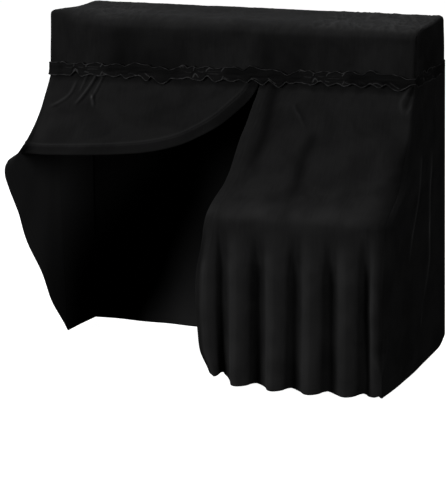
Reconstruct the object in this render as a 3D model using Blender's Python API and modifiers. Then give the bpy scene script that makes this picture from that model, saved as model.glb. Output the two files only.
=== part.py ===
"""A full cover for an upright piano, of black velvet, as it hangs on the piano.

A fitted cap with a gathered band under it carries a skirt that reaches the floor. The skirt's front
is split: its left leaf is drawn aside over the left key block, and its right leaf hangs over the key
bed in folds. The piano itself is not part of the model, so the cover is hollow.

Sizes are in metres. Shapes are worked out in the cover's own measures: x from its middle to the
right, depth from the cap's front face towards the back, and height above the floor. place() moves
them to the model's frame, whose origin is the middle of the underside of the cap's top.
"""

import math

import bmesh
import bpy
from mathutils import Vector

NAME = "upright_piano_cover"

CLOTH = 0.002  # the velvet's thickness
SEAM = 0.0003  # the gap between two sewn edges

HALF_WIDTH = 0.764  # the outside of the end panels
WALL_X = HALF_WIDTH - CLOTH - SEAM  # the front, the back and the strip end here, inside the ends
LEAF_X = WALL_X - 2 * SEAM  # the right leaf ends here, because its edge is a little skewed by its folds
FRONT = -0.010  # the depth of the cap's front face at its lower seam
BACK = 0.380  # the depth of the back's outer face
BACK_FLARE = 0.016  # how much deeper the skirt stands at its lower back edge
SIDE_FLARE = 0.010  # how much wider the right end stands at its lower back corner
TOP = 1.338  # the height of the cap's top
HEM = 0.005  # the height of the skirt's lower edge

# The seam between cap and skirt lies under the gathered band. It isn't sewn level, so its height is
# given at the left end, at the right end's front and at the right end's back.
SEAM_LEFT = 1.122
SEAM_RIGHT = 1.144
SEAM_RIGHT_BACK = 1.156

CAP_FRONT_RADIUS = 0.030
CAP_BACK_RADIUS = 0.018
CAP_FRONT_LEAN = 0.006  # how far the front drop leans back between its seam and the round edge
TOP_SAG = 0.003
CAP_COLUMNS = 14
# The cap's section, from the front seam to the back seam: the rows of faces in each stretch.
FRONT_DROP_ROWS = 5
FRONT_ROUND_ROWS = 5
TOP_ROWS = 9
BACK_ROUND_ROWS = 4
BACK_DROP_ROWS = 4
CAP_ROWS = FRONT_DROP_ROWS + FRONT_ROUND_ROWS + TOP_ROWS + BACK_ROUND_ROWS + BACK_DROP_ROWS

SLIT_X = 0.1335  # the two front leaves meet here at the top
SLIT_GAP = 0.0012

BAND_BELOW = 0.024  # how far the band reaches below the seam
BAND_ABOVE = 0.026  # and above it
BAND_GAP = 0.0012  # between the band's inner face and the cloth under it
BAND_PUFF = 0.005  # how far the middle of the band stands out
RUFFLE_LENGTH = 0.064  # one gather of the band
RUFFLE_DEPTH = 0.0035
EDGE_WAVE_LENGTH = 0.155  # the slow rise and fall of the band's two edges
EDGE_WAVE_HEIGHT = 0.006
BAND_END = 0.008  # the band stops this far short of the back
# Below the seam the cloth under the band leans forward, most at the left, where the leaf is drawn.
LEAN_START = 0.004  # below the seam
LEAN = 0.27
LEAN_MORE_AT_LEFT = 0.50
BAND_END_COLUMNS = 23
BAND_TURN_COLUMNS = 3
BAND_FRONT_COLUMNS = 96
BAND_COLUMNS = 2 * BAND_END_COLUMNS + 2 * BAND_TURN_COLUMNS + BAND_FRONT_COLUMNS
BAND_ROWS = 3

# The right leaf's profile over the key bed: height and depth of its face.
KEY_BED_PROFILE = (
    (1.150, -0.010),
    (1.122, -0.010),
    (1.100, -0.0135),
    (1.080, -0.019),
    (1.030, -0.040),
    (0.940, -0.060),
    (0.862, -0.108),
    (0.784, -0.165),
    (0.742, -0.215),
    (0.700, -0.298),
    (0.672, -0.343),
    (0.645, -0.368),
    (0.610, -0.378),
    (0.550, -0.374),
    (0.450, -0.366),
    (0.250, -0.362),
    (0.000, -0.362),
)

# The right leaf's free edge: height and x.
RIGHT_LEAF_EDGE = (
    (1.122, SLIT_X),
    (1.080, SLIT_X),
    (1.040, 0.124),
    (1.000, 0.111),
    (0.900, 0.084),
    (0.780, 0.074),
    (0.650, 0.059),
    (0.540, 0.042),
    (0.420, 0.020),
    (0.300, 0.016),
    (0.200, 0.020),
    (0.110, 0.041),
    (0.030, 0.074),
    (0.000, 0.086),
)

# The right leaf's folds below the key bed, left to right: where each crest or valley stands half way
# down and at the hem (x), and how deep it lies there (depth).
FOLDS = (
    # x half way, depth half way, x at the hem, depth at the hem
    (0.090, -0.368, 0.100, -0.322),  # crest beside the free edge
    (0.124, -0.335, 0.128, -0.262),
    (0.232, -0.404, 0.246, -0.421),  # crest
    (0.268, -0.346, 0.274, -0.347),
    (0.374, -0.408, 0.368, -0.439),  # crest
    (0.412, -0.350, 0.398, -0.364),
    (0.519, -0.410, 0.505, -0.436),  # crest
    (0.558, -0.351, 0.542, -0.371),
    (0.655, -0.404, 0.648, -0.414),  # crest
    (0.697, -0.346, 0.694, -0.342),
    (LEAF_X, -0.372, LEAF_X, -0.362),  # the corner
)
FREE_EDGE_DEPTH_HALF_WAY = -0.339
FREE_EDGE_DEPTH_AT_HEM = -0.318
FOLD_START = 0.625  # the folds grow from this height
FOLD_FULL = 0.400  # to this height
HALF_WAY = 0.360
COLUMNS_PER_FOLD_SIDE = 4
RIGHT_LEAF_ROWS = 26

# The left leaf, from its seam on the left end, round the corner, to the slit: the point of its top
# seam and the point of its free edge on the same line of cloth.
LEFT_LEAF = (
    # top x, top depth, edge x, edge depth, edge height
    (-0.7640, 0.0400, -0.768, 0.130, 0.006),
    (-0.7640, 0.0360, -0.771, 0.066, 0.092),
    (-0.7640, 0.0320, -0.774, -0.004, 0.180),
    (-0.7640, 0.0280, -0.776, -0.082, 0.290),
    (-0.7640, 0.0240, -0.778, -0.157, 0.399),
    (-0.7640, 0.0200, -0.780, -0.222, 0.500),
    (-0.7640, 0.0160, -0.782, -0.282, 0.592),
    (-0.7640, 0.0120, -0.784, -0.348, 0.688),
    (-0.7635, 0.0070, -0.784, -0.385, 0.752),
    (-0.7610, 0.0000, -0.783, -0.371, 0.793),
    (-0.7550, -0.0065, -0.772, -0.318, 0.810),
    (-0.7420, -0.0100, -0.744, -0.284, 0.818),
    (-0.6400, -0.0100, -0.640, -0.264, 0.818),
    (-0.4950, -0.0100, -0.495, -0.221, 0.819),
    (-0.3850, -0.0100, -0.385, -0.182, 0.822),
    (-0.2700, -0.0100, -0.270, -0.148, 0.834),
    (-0.1600, -0.0100, -0.160, -0.116, 0.861),
    (-0.0850, -0.0100, -0.085, -0.089, 0.895),
    (-0.0100, -0.0100, -0.010, -0.060, 0.941),
    (0.0550, -0.0100, 0.055, -0.038, 0.998),
    (0.1040, -0.0100, 0.104, -0.028, 1.048),
    (SLIT_X, -0.0100, SLIT_X, -0.018, 1.094),
)
LEFT_COLUMNS_PER_ROW = 2
LEFT_LEAF_ROWS = 14
SLOPE_EASE = 1.25  # how long the left leaf hangs upright before it slopes forward
CORNER_EASE = 1.6  # and how long at the row that lies furthest forward
FURTHEST_ROW = 8
CORNER_ROWS = 3  # the rows to each side of it that share in that
SIDE_ROWS = 6  # the rows of the table that lie on the left end, in folds
SIDE_FOLDS = 2
SIDE_FOLD_DEPTH = 0.012

# The hem rises to the lower right back corner, over this share of the end's and of the back's width.
BACK_CORNER_RISE = 0.070
CORNER_SHARE_OF_SIDE = 0.22
CORNER_SHARE_OF_BACK = 0.12

RIGHT_BOW = 0.006  # how far the middle of the right end stands out
RIGHT_COLUMNS = 12
RIGHT_ROWS = 20
LEFT_BOW = 0.005
LEFT_SIDE_COLUMNS = 6

BACK_FOLDS = 7
BACK_FOLD_DEPTH = 0.007
BACK_COLUMNS = 28
BACK_ROWS = 8

VELVET = (0.012, 0.012, 0.013, 1.0)


def place(x, depth, height):
    """A point of the cover, in the model's frame."""
    middle = (BACK + FRONT) / 2
    return Vector((x, depth - middle, height - (TOP - CLOTH)))


def seam_height(x, depth):
    right = mix(SEAM_RIGHT, SEAM_RIGHT_BACK, depth / BACK)
    return mix(SEAM_LEFT, right, (x + HALF_WIDTH) / (2 * HALF_WIDTH))


def skirt_top(x, depth):
    return seam_height(x, depth) - 2 * SEAM


def ease(t):
    """0 to 1, starting and ending level."""
    t = min(max(t, 0.0), 1.0)
    return (1 - math.cos(math.pi * t)) / 2


def mix(a, b, t):
    return a + (b - a) * t


def smooth(values, at):
    """A smooth curve through evenly spaced values, read at a position counted in values."""
    last = len(values) - 1
    i = min(max(int(at), 0), last - 1)
    t = at - i
    a, b = values[i], values[i + 1]
    before = values[i - 1] if i > 0 else 2 * a - b
    after = values[i + 2] if i + 2 <= last else 2 * b - a
    slope_a, slope_b = (b - before) / 2, (after - a) / 2
    return (
        (2 * t**3 - 3 * t**2 + 1) * a
        + (t**3 - 2 * t**2 + t) * slope_a
        + (3 * t**2 - 2 * t**3) * b
        + (t**3 - t**2) * slope_b
    )


def by_height(table, height):
    """The second column of a table whose first column is a height, falling. It is read smoothly."""
    heights = [row[0] for row in table]
    for i in range(len(heights) - 1):
        if height >= heights[i + 1] or i == len(heights) - 2:
            part = (heights[i] - height) / (heights[i] - heights[i + 1])
            return smooth([row[1] for row in table], i + min(max(part, 0.0), 1.0))
    return table[-1][1]


def velvet_material():
    material = bpy.data.materials.new("black_velvet")
    material.use_nodes = True
    shader = material.node_tree.nodes["Principled BSDF"]
    shader.inputs["Base Color"].default_value = VELVET
    shader.inputs["Roughness"].default_value = 0.9
    shader.inputs["Metallic"].default_value = 0.0
    shader.inputs["Sheen Weight"].default_value = 0.5
    return material


def cloth_material(name):
    """The same velvet for each piece, under the piece's own name."""
    material = bpy.data.materials.get("black_velvet") or velvet_material()
    own = material.copy()
    own.name = name + "_velvet"
    return own


def finish(obj, collection):
    collection.objects.link(obj)
    obj.data.materials.append(cloth_material(obj.name))
    return obj


def sheet(name, columns, rows, surface, collection):
    """A sheet of cloth. surface(along, down) is its outer face: along runs from the left to the right
    as seen from outside, and down from the top edge to the bottom, both from 0 to 1."""
    mesh = bpy.data.meshes.new(name)
    grid = bmesh.new()
    bmesh.ops.create_grid(grid, x_segments=columns, y_segments=rows, size=0.5)
    for vert in grid.verts:
        vert.co = surface(vert.co.x + 0.5, 0.5 - vert.co.y)
    grid.to_mesh(mesh)
    grid.free()
    mesh.shade_smooth()
    obj = bpy.data.objects.new(name, mesh)
    thicken = obj.modifiers.new("Cloth thickness", "SOLIDIFY")
    thicken.thickness = CLOTH
    thicken.offset = -1
    return finish(obj, collection)


# The cap


def cap_section(x, along):
    """(depth, height) of the cap's outer face at x, from the front seam over the top to the back
    seam, by equal steps of along within each stretch."""
    front_face = FRONT + CAP_FRONT_LEAN
    at = along * CAP_ROWS
    if at <= FRONT_DROP_ROWS:
        t = at / FRONT_DROP_ROWS
        height = mix(seam_height(x, FRONT), TOP - CAP_FRONT_RADIUS, t)
        return mix(FRONT, front_face, ease(t)), height
    at -= FRONT_DROP_ROWS
    if at <= FRONT_ROUND_ROWS:
        turn = math.pi / 2 * at / FRONT_ROUND_ROWS
        return (
            front_face + CAP_FRONT_RADIUS * (1 - math.cos(turn)),
            TOP - CAP_FRONT_RADIUS * (1 - math.sin(turn)),
        )
    at -= FRONT_ROUND_ROWS
    if at <= TOP_ROWS:
        t = at / TOP_ROWS
        sag = TOP_SAG * math.sin(math.pi * t) ** 2
        return mix(front_face + CAP_FRONT_RADIUS, BACK - CAP_BACK_RADIUS, t), TOP - sag
    at -= TOP_ROWS
    if at <= BACK_ROUND_ROWS:
        turn = math.pi / 2 * at / BACK_ROUND_ROWS
        return (
            BACK - CAP_BACK_RADIUS * (1 - math.sin(turn)),
            TOP - CAP_BACK_RADIUS * (1 - math.cos(turn)),
        )
    at -= BACK_ROUND_ROWS
    return BACK, mix(TOP - CAP_BACK_RADIUS, seam_height(x, BACK), at / BACK_DROP_ROWS)


def cap_strip(collection):
    def surface(along, down):
        x = mix(-WALL_X, WALL_X, along)
        return place(x, *cap_section(x, 1 - down))

    return sheet("cap_strip", CAP_COLUMNS, CAP_ROWS, surface, collection)


def cap_end(name, side, collection):
    """A flat end piece with the strip's own outline, standing outside the strip's edge."""
    curve = bpy.data.curves.new(name, "CURVE")
    curve.dimensions = "2D"
    curve.fill_mode = "BOTH"
    curve.extrude = CLOTH / 2
    outline = curve.splines.new("POLY")
    outline.points.add(CAP_ROWS)
    for i, point in enumerate(outline.points):
        at = place(0, *cap_section(side * HALF_WIDTH, i / CAP_ROWS))
        point.co = (at.y, at.z, 0, 1)
    outline.use_cyclic_u = True
    obj = bpy.data.objects.new(name, curve)
    obj.rotation_euler = (math.pi / 2, 0, math.pi / 2)
    obj.location.x = side * (HALF_WIDTH - CLOTH / 2)
    return finish(obj, collection)


# The gathered band


def band_path(along):
    """(x, depth, outward x, outward depth, distance) of the wall behind the band, from the left end's
    back, round both front corners, to the right end's back."""
    end = BACK - BAND_END - FRONT
    front = 2 * HALF_WIDTH
    at = along * BAND_COLUMNS
    if at <= BAND_END_COLUMNS:
        t = at / BAND_END_COLUMNS
        return -HALF_WIDTH, mix(FRONT + end, FRONT, t), -1.0, 0.0, end * t
    at -= BAND_END_COLUMNS
    if at <= BAND_TURN_COLUMNS:
        turn = math.pi / 2 * at / BAND_TURN_COLUMNS
        return -HALF_WIDTH, FRONT, -math.cos(turn), -math.sin(turn), end
    at -= BAND_TURN_COLUMNS
    if at <= BAND_FRONT_COLUMNS:
        t = at / BAND_FRONT_COLUMNS
        return mix(-HALF_WIDTH, HALF_WIDTH, t), FRONT, 0.0, -1.0, end + front * t
    at -= BAND_FRONT_COLUMNS
    if at <= BAND_TURN_COLUMNS:
        turn = math.pi / 2 * at / BAND_TURN_COLUMNS
        return HALF_WIDTH, FRONT, math.sin(turn), -math.cos(turn), end + front
    at -= BAND_TURN_COLUMNS
    t = at / BAND_END_COLUMNS
    return HALF_WIDTH, mix(FRONT, FRONT + end, t), 1.0, 0.0, end + front + end * t


def ruched_band(collection):
    def surface(along, down):
        x, depth, out_x, out_depth, gone = band_path(along)
        wave = EDGE_WAVE_HEIGHT * math.sin(2 * math.pi * gone / EDGE_WAVE_LENGTH)
        below = mix(-BAND_ABOVE, BAND_BELOW, down) - wave
        height = seam_height(x, depth) - below
        lean = LEAN + LEAN_MORE_AT_LEFT * max(0.0, -x / HALF_WIDTH)
        ruffle = RUFFLE_DEPTH * (1 - math.cos(2 * math.pi * gone / RUFFLE_LENGTH)) / 2
        puff = BAND_PUFF * math.sin(math.pi * down)
        out = BAND_GAP + CLOTH + ruffle + puff
        out_front = out + lean * max(0.0, below - LEAN_START)
        return place(x + out_x * out, depth + out_depth * out_front, height)

    return sheet("ruched_band", BAND_COLUMNS, BAND_ROWS, surface, collection)


# The skirt


def left_leaf_point(along, down):
    at = along * (len(LEFT_LEAF) - 1)
    top_x, top_depth, edge_x, edge_depth, edge_height = (
        smooth([row[column] for row in LEFT_LEAF], at) for column in range(5)
    )
    fold = 0.0
    if at < SIDE_ROWS:
        turns = SIDE_FOLDS * at / SIDE_ROWS
        fold = SIDE_FOLD_DEPTH * down**1.5 * (1 - math.cos(2 * math.pi * turns)) / 2
    corner = ease(1 - abs(at - FURTHEST_ROW) / CORNER_ROWS)
    return (
        mix(top_x, edge_x, down**3) - fold,
        mix(top_depth, edge_depth, down ** mix(SLOPE_EASE, CORNER_EASE, corner)),
        mix(skirt_top(top_x, top_depth), edge_height, down),
    )


def front_left_panel(collection):
    def surface(along, down):
        x, depth, height = left_leaf_point(along, down)
        return place(x - SLIT_GAP / 2 * along, depth, height)

    columns = LEFT_COLUMNS_PER_ROW * (len(LEFT_LEAF) - 1)
    return sheet("front_left_panel", columns, LEFT_LEAF_ROWS, surface, collection)


def right_leaf_depth(span, part, height):
    """The depth of the right leaf's face between fold line number span and the next."""
    flat = by_height(KEY_BED_PROFILE, height)
    if height >= FOLD_START:
        return flat
    drop = ease((HALF_WAY - height) / HALF_WAY)
    half_way = (FREE_EDGE_DEPTH_HALF_WAY,) + tuple(row[1] for row in FOLDS)
    at_hem = (FREE_EDGE_DEPTH_AT_HEM,) + tuple(row[3] for row in FOLDS)
    depths = [mix(a, b, drop) for a, b in zip(half_way, at_hem)]
    folded = mix(depths[span], depths[span + 1], ease(part))
    return mix(flat, folded, ease((FOLD_START - height) / (FOLD_START - FOLD_FULL)))


def right_leaf_x(span, part, height):
    drop = ease((HALF_WAY - height) / HALF_WAY)
    lines = [by_height(RIGHT_LEAF_EDGE, height)]
    lines += [mix(row[0], row[2], drop) for row in FOLDS]
    if height > HALF_WAY:
        # Above the folds the lines spread evenly between the free edge and the corner.
        even = [mix(lines[0], lines[-1], i / (len(lines) - 1)) for i in range(len(lines))]
        spread = ease((height - FOLD_FULL) / (SEAM_LEFT - FOLD_FULL))
        lines = [mix(a, b, spread) for a, b in zip(lines, even)]
    return mix(lines[span], lines[span + 1], part)


def front_right_panel(collection):
    spans = len(FOLDS)

    def surface(along, down):
        at = along * spans
        span = min(int(at), spans - 1)
        height = mix(skirt_top(mix(SLIT_X, LEAF_X, along), FRONT), HEM, down)
        x = right_leaf_x(span, at - span, height)
        return place(x, right_leaf_depth(span, at - span, height), height)

    columns = spans * COLUMNS_PER_FOLD_SIDE
    return sheet("front_right_panel", columns, RIGHT_LEAF_ROWS, surface, collection)


def side_right_panel(collection):
    """It starts at the right leaf's edge, so its outline is the key bed's profile."""
    last = len(FOLDS) - 1

    def surface(along, down):
        corner = max(0.0, 1 - (1 - along) / CORNER_SHARE_OF_SIDE)
        foot = HEM + BACK_CORNER_RISE * corner**2
        height = mix(skirt_top(HALF_WIDTH, mix(FRONT, BACK, along)), foot, down)
        front = right_leaf_depth(last, 1.0, height)
        bow = RIGHT_BOW * math.sin(math.pi * along) * math.sin(math.pi * down)
        back = BACK + BACK_FLARE * down
        return place(HALF_WIDTH + bow + SIDE_FLARE * along * down, mix(front, back, along), height)

    return sheet("side_right_panel", RIGHT_COLUMNS, RIGHT_ROWS, surface, collection)


def side_left_panel(collection):
    """It runs from the back corner to the left leaf's seam."""

    def surface(along, down):
        x, depth, height = left_leaf_point(0.0, down)
        bow = LEFT_BOW * math.sin(math.pi * along) * math.sin(math.pi * down)
        back = BACK + BACK_FLARE * down
        return place(mix(-HALF_WIDTH, x, along) - bow, mix(back, depth + 2 * SEAM, along), height)

    return sheet("side_left_panel", LEFT_SIDE_COLUMNS, LEFT_LEAF_ROWS, surface, collection)


def back_panel(collection):
    def surface(along, down):
        corner = max(0.0, 1 - along / CORNER_SHARE_OF_BACK)
        x = mix(WALL_X + SIDE_FLARE * down, -WALL_X, along)
        height = mix(skirt_top(x, BACK), HEM + BACK_CORNER_RISE * corner**2, down)
        folds = math.sin(math.pi * BACK_FOLDS * along) ** 2
        depth = BACK + BACK_FLARE * down + BACK_FOLD_DEPTH * folds * ease(down)
        return place(x, depth, height)

    return sheet("back_panel", BACK_COLUMNS, BACK_ROWS, surface, collection)


def main():
    for obj in list(bpy.data.objects):
        bpy.data.objects.remove(obj, do_unlink=True)
    collection = bpy.data.collections.new(NAME)
    bpy.context.scene.collection.children.link(collection)
    cap_strip(collection)
    cap_end("cap_end_left", -1, collection)
    cap_end("cap_end_right", 1, collection)
    ruched_band(collection)
    front_left_panel(collection)
    front_right_panel(collection)
    side_right_panel(collection)
    side_left_panel(collection)
    back_panel(collection)


main()
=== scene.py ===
"""The looks of the upright piano cover: black velvet, with its seams, hems, gathers, folds and creases.

Sizes are in metres, or in millimetres where a table's comment says so. As in the part's source, shapes
are worked out in the cover's own measures: x from its middle to the right, depth from the cap's front
face towards the back, and height above the floor. to_frame() moves them to the frame's coordinates.
"""

import math
import bpy
import numpy as np
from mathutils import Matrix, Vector

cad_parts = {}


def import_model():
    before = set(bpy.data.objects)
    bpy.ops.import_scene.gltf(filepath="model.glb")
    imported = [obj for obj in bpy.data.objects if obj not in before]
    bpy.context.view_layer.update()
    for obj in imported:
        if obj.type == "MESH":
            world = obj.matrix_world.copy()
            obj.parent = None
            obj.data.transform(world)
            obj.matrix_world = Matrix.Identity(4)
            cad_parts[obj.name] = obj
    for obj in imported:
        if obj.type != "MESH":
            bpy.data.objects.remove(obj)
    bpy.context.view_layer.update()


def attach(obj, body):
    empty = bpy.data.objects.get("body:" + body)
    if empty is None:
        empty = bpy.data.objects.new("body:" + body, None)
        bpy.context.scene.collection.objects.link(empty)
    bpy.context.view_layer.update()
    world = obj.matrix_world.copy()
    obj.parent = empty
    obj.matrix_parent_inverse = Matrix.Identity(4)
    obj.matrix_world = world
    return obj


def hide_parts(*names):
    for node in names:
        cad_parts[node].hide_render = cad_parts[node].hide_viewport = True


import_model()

# ---- Sizes that the part's source has too

CLOTH = 0.002  # the velvet's thickness
SEAM = 0.0003  # the gap between two sewn edges
HALF_WIDTH = 0.764  # the outside of the end panels
WALL_X = HALF_WIDTH - CLOTH - SEAM  # the front, the back and the cap's strip end here
FRONT = -0.010  # the depth of the cap's front face at its lower seam
BACK = 0.380  # the depth of the back's outer face
BACK_FLARE = 0.016  # how much deeper the skirt stands at its lower back edge
SIDE_FLARE = 0.010  # how much wider the right end stands at its lower back corner
TOP = 1.338  # the height of the cap's top
HEM = 0.005  # the height of the skirt's lower edge
SEAM_LEFT = 1.122  # the seam between cap and skirt: its height at the left end,
SEAM_RIGHT = 1.144  # at the right end's front
SEAM_RIGHT_BACK = 1.156  # and at the right end's back
CAP_BACK_RADIUS = 0.018
CAP_FRONT_LEAN = 0.006  # how far the front drop leans back between its seam and the round edge
TOP_SAG = 0.003
SLIT_X = 0.1335  # the two front leaves meet here at the top
SLIT_GAP = 0.0012
BAND_GAP = 0.0012  # between the band's inner face and the cloth under it
BAND_END = 0.008  # the band stops this far short of the back
LEAN_START = 0.004  # the cloth under the band leans forward from this far below the seam

# The right leaf's profile over the key bed: height and depth of its face.
KEY_BED_PROFILE = (
    (1.150, -0.010), (1.122, -0.010), (1.100, -0.0135), (1.080, -0.019), (1.030, -0.040), (0.940, -0.060),
    (0.862, -0.108), (0.784, -0.165), (0.742, -0.215), (0.700, -0.298), (0.672, -0.343), (0.645, -0.368),
    (0.610, -0.378), (0.550, -0.374), (0.450, -0.366), (0.250, -0.362), (0.000, -0.362),
)

# The left leaf, from its seam on the left end, round the corner, to the slit: the point of its top
# seam and the point of its free edge on the same line of cloth.
LEFT_LEAF = (
    # top x, top depth, edge x, edge depth, edge height
    (-0.764, 0.040, -0.768, 0.130, 0.006),
    (-0.764, 0.036, -0.771, 0.066, 0.092),
    (-0.764, 0.032, -0.774, -0.004, 0.180),
    (-0.764, 0.028, -0.776, -0.082, 0.290),
    (-0.764, 0.024, -0.778, -0.157, 0.399),
    (-0.764, 0.020, -0.780, -0.222, 0.500),
    (-0.764, 0.016, -0.782, -0.282, 0.592),
    (-0.764, 0.012, -0.784, -0.348, 0.688),
    (-0.7635, 0.007, -0.784, -0.385, 0.752),
    (-0.761, 0.000, -0.783, -0.371, 0.793),
    (-0.755, -0.0065, -0.772, -0.318, 0.810),
    (-0.742, -0.010, -0.744, -0.284, 0.818),
    (-0.640, -0.010, -0.640, -0.264, 0.818),
    (-0.495, -0.010, -0.495, -0.221, 0.819),
    (-0.385, -0.010, -0.385, -0.182, 0.822),
    (-0.270, -0.010, -0.270, -0.148, 0.834),
    (-0.160, -0.010, -0.160, -0.116, 0.861),
    (-0.085, -0.010, -0.085, -0.089, 0.895),
    (-0.010, -0.010, -0.010, -0.060, 0.941),
    (0.055, -0.010, 0.055, -0.038, 0.998),
    (0.104, -0.010, 0.104, -0.028, 1.048),
    (SLIT_X, -0.010, SLIT_X, -0.018, 1.094),
)
SLOPE_EASE = 1.25  # how long the left leaf hangs upright before it slopes forward
CORNER_EASE = 1.6  # and how long at the row that lies furthest forward
FURTHEST_ROW = 8
CORNER_ROWS = 3  # the rows to each side of it that share in that
SIDE_ROWS = 6  # the rows of the table that lie on the left end, in folds
SIDE_FOLDS = 2
SIDE_FOLD_DEPTH = 0.012
HALF_WAY = 0.360  # half way up the right leaf's folds
BACK_CORNER_RISE = 0.070  # the hem rises to the lower right back corner,
CORNER_SHARE_OF_BACK = 0.12  # over this share of the back's width
RIGHT_BOW = 0.006  # how far the middle of the right end stands out
LEFT_BOW = 0.005
BACK_FOLDS = 7
BACK_FOLD_DEPTH = 0.007

# ---- Sizes of what is softer or finer than in the solids

FLOOR = -(TOP - CLOTH)  # the floor's height in the frame
MIDDLE_DEPTH = (BACK + FRONT) / 2  # the depth of the frame's origin
LEAF_X = HALF_WIDTH - 2 * SEAM  # the right leaf ends here

# Tables of creases are in millimetres: the points of a line (x, height), how wide and how proud the
# crease is, and how much of a trough lies along its right or lower side

# The cap
CAP_FRONT_RADIUS = 0.044  # how far down the round of its front edge reaches,
CAP_FRONT_REACH = 0.095  # and how far back
SHARPER_AT_LEFT = 0.32  # as much of that round is left at the left end,
SHARPER_WITHIN = 0.10  # from where it grows over this width
CAP_EDGE_RADIUS = 0.014  # the round of the cap's end seams, which lie half way round it
CAP_EDGE_COLUMNS = (0.85, 0.65, 0.48, 0.32, 0.18, 0.06)  # shares of it that have a column of points
CAP_EDGE_PROUD = 0.0018  # the strip ends this much further out, flush with the end pieces
CAP_BACK_RISE = 0.020  # the empty cap's top puffs up towards the back by this,
CAP_BACK_PULL = 0.020  # its left end is pulled in there,
CAP_CORNER_RISE = 0.013  # and its left front corner stands up,
CAP_TIP_RISE = 0.003  # most of all its tip
CAP_ROWS = (26, 20, 42, 8, 22)  # rows of faces in the stretches of cap_section
CAP_COLUMNS = 300
CAP_STITCH_AT = 0.024  # the topstitching's distance from the end seams
CAP_STITCH_WIDTH = 0.007
WRINKLE = 0.0020  # the height of the fine wrinkles of the cap's top
END_PIECE_SINKS = 0.0020  # the end pieces sink in a little where nothing fills them
# Soft hollows of the cap's front drop, as creases
CAP_FRONT_HOLLOWS = (
    (((-480, 1290), (-430, 1200), (-430, 1140)), 45, -4, 0),
    (((-280, 1220), (-270, 1150)), 40, -2.5, 0),
    (((-150, 1270), (-180, 1150)), 35, -2.5, 0),
    (((175, 1300), (165, 1230), (160, 1150)), 45, -3.5, 0),
    (((290, 1270), (290, 1150)), 35, -2.5, 0),
    (((440, 1300), (400, 1180)), 32, -2.5, 0),
    (((500, 1200), (505, 1150)), 22, -2, 0),
)
# Painted shade on the cap's front: x in millimetres, and how dark, in percent, below its round
# edge and above the band
CAP_FRONT_SHADE = (
    (-770, 20, 18), (-728, 26, 18), (-640, 12, 10), (-551, 14, 16), (-515, 42, 42), (-480, 60, 85),
    (-445, 72, 100), (-410, 64, 90), (-375, 42, 80), (-305, 40, 84), (-236, 42, 78), (-200, 46, 72),
    (-167, 20, 46), (-130, 10, 22), (-80, 2, 2), (90, 0, 2), (124, 12, 36), (157, 60, 76), (224, 52, 52),
    (265, 38, 44), (307, 44, 62), (357, 12, 16), (400, 38, 38), (430, 26, 18), (465, 12, 30), (500, 0, 8),
    (560, -8, 0), (700, -8, 0), (740, 4, 25), (770, 10, 45),
)

# The gathered band
BAND_COLUMNS = 900
BAND_ROWS = 34
BAND_TURN = 0.016  # as much of the band as takes part in each corner
# Its two ruffled edges, in millimetres: x on the front, and height from the seam
UPPER_EDGE = (
    (-790, 20), (-745, 25), (-700, 29), (-682, 21), (-644, 24), (-622, 30), (-604, 21), (-570, 29),
    (-538, 30), (-516, 20), (-480, 28), (-462, 30), (-432, 21), (-405, 31), (-387, 36), (-350, 30),
    (-335, 29), (-309, 21), (-275, 23), (-242, 13), (-205, 24), (-180, 33), (-163, 23), (-142, 31),
    (-120, 24), (-85, 31), (-48, 24), (-5, 31), (40, 33), (72, 22), (99, 41), (149, 29), (190, 30),
    (223, 24), (252, 11), (286, 24), (306, 33), (325, 29), (345, 32), (362, 23), (400, 31), (427, 28),
    (455, 33), (478, 26), (507, 36), (555, 23), (587, 41), (618, 30), (647, 28), (676, 29), (706, 23),
    (738, 12), (790, 20),
)
LOWER_EDGE = (
    (-790, -22), (-746, -26), (-690, -24), (-664, -25), (-644, -8), (-622, -26), (-600, -25), (-580, -18),
    (-539, -24), (-505, -18), (-474, -26), (-445, -18), (-425, -29), (-385, -19), (-366, -18),
    (-332, -36), (-318, -20), (-280, -42), (-252, -40), (-235, -24), (-194, -24), (-160, -17),
    (-131, -25), (-100, -25), (-78, -8), (-47, -30), (-10, -18), (20, -26), (58, -18), (85, -28),
    (108, -14), (153, -34), (176, -18), (223, -40), (246, -21), (264, -24), (305, -19), (360, -26),
    (387, -10), (420, -27), (455, -18), (488, -27), (520, -17), (560, -29), (588, -13), (627, -27),
    (650, -14), (690, -34), (712, -34), (736, -20), (752, -11), (790, -12),
)
UPPER_AT_ENDS = 0.024  # round the ends the edges lie this high,
LOWER_AT_ENDS = -0.023
UNEVEN_AT_ENDS = 0.007  # give or take this
EDGE_FRAYS = 0.0014  # the edges' smallest waves
LEAN = 0.12  # less than the solid's, so that no gap shows
LEAN_MORE_AT_LEFT = 0.45
EDGE_STANDS = 0.0042  # how far the band's edges stand off the cloth,
CHANNEL_STANDS = 0.0016  # its rows of gathering stitches, between edge and middle,
MIDDLE_STANDS = 0.0034  # and its middle
RIM_WIDTH = 0.0042  # the rolled rims of the band's edges
RIM_HEIGHT = 0.0019
# The gathers' small folds repeat along the band: where each repeat starts, on the front and beyond
FOLD_REPEATS = (-1.210, -0.703, -0.186, 0.310, 0.807)
FIRST_REPEAT = FOLD_REPEATS[1]  # on the front
REPEAT_LENGTH = (FOLD_REPEATS[3] - FIRST_REPEAT) / 2
BUSY_START = -0.020  # of the part of a repeat where the gathers lie close
BUSY_END = 0.205
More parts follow.
